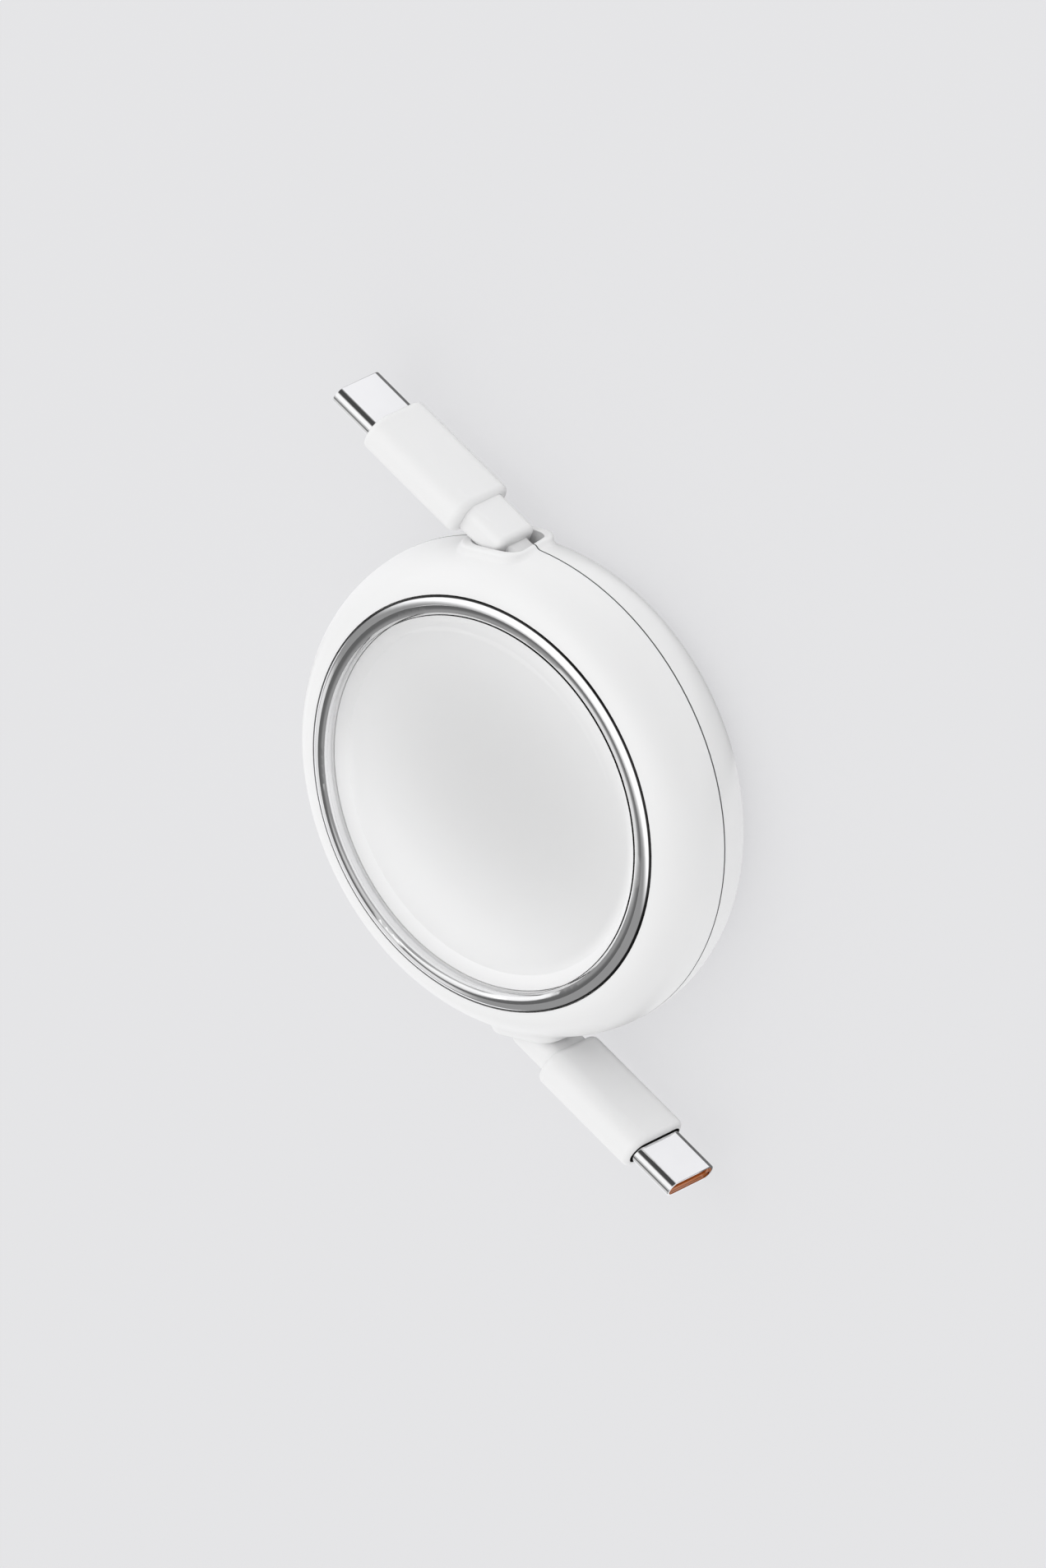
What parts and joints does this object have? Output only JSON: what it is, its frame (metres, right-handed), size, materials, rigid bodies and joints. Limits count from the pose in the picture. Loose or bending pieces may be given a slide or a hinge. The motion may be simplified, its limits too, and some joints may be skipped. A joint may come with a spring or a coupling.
{
  "type": "retractable charging cable",
  "caption": "Round flat puck with a spring reel inside and a reversible charging plug on each end of one flat cable that pulls out both ways.",
  "frame": {"origin": "on the reel axis, in the flat back face that the puck rests on", "axes": "+Z along the reel axis towards the window, +X the way plug B pulls out, +Y towards plug A's side"},
  "size_m": [0.0898, 0.063, 0.0166],
  "materials": {
    "case_white": "fine satin white moulding",
    "bright_ring": "polished bright plating",
    "clear_window": "clear polished plastic",
    "face_pale": "smooth pale grey white",
    "screw_steel": "plated steel",
    "latch_plastic": "natural moulding",
    "reel_plastic": "plain white moulding",
    "cable_white": "smooth white jacket",
    "spring_steel": "blued spring strip",
    "plug_metal": "bright drawn shell",
    "insert_orange": "orange moulding",
    "contact_gold": "gold plated",
    "board_green": "solder mask",
    "chip_black": "moulded package",
    "can_steel": "folded sheet",
    "neck_white": "soft white moulding"
  },
  "bodies": {
    "casing": {"back_cover": "case_white", "front_cover": "case_white", "trim_ring": "bright_ring", "window": "clear_window", "face_plate": "face_pale", "center_screw": "screw_steel"},
    "reel": {"reel": "reel_plastic", "reel_lid": "reel_plastic", "wound_cable": "cable_white", "mainspring": "spring_steel"},
    "latch": {"latch_arm": "latch_plastic"},
    "plug_a": {"plug_a_shell": "plug_metal", "plug_a_insert": "insert_orange", "plug_a_contacts": "contact_gold", "plug_a_board": "board_green", "plug_a_chip": "chip_black", "plug_a_can": "can_steel", "plug_a_grip": "case_white", "plug_a_neck": "neck_white", "plug_a_cable": "cable_white"},
    "plug_b": {"plug_b_shell": "plug_metal", "plug_b_insert": "insert_orange", "plug_b_contacts": "contact_gold", "plug_b_board": "board_green", "plug_b_chip": "chip_black", "plug_b_can": "can_steel", "plug_b_grip": "case_white", "plug_b_neck": "neck_white", "plug_b_cable": "cable_white"}
  },
  "joints": [
    {"name": "reel_spin", "type": "hinge", "parent": "casing", "child": "reel", "pos_m": [0, 0, 0.0075], "axis": [0, 0, 1], "range_deg": [0, 1080], "stiffness_Nm_per_rad": 0.0008, "springref_deg": -687.55, "deforming": ["mainspring", "wound_cable"]},
    {"name": "plug_a_pull", "type": "slide", "parent": "casing", "child": "plug_a", "axis": [-1, 0, 0], "range_m": [0, 0.40725], "deforming": ["plug_a_cable"]},
    {"name": "plug_b_pull", "type": "slide", "parent": "casing", "child": "plug_b", "axis": [1, 0, 0], "range_m": [0, 0.40725], "deforming": ["plug_b_cable"]},
    {"name": "latch_swing", "type": "hinge", "parent": "casing", "child": "latch", "pos_m": [0.012, 0.012, 0.0023], "axis": [0, 0, -1], "range_deg": [0, 16.2]}
  ],
  "couplings": [
    {"joint": "plug_a_pull", "follows": "reel_spin", "m_per_rad": 0.0216},
    {"joint": "plug_b_pull", "follows": "reel_spin", "m_per_rad": 0.0216}
  ]
}
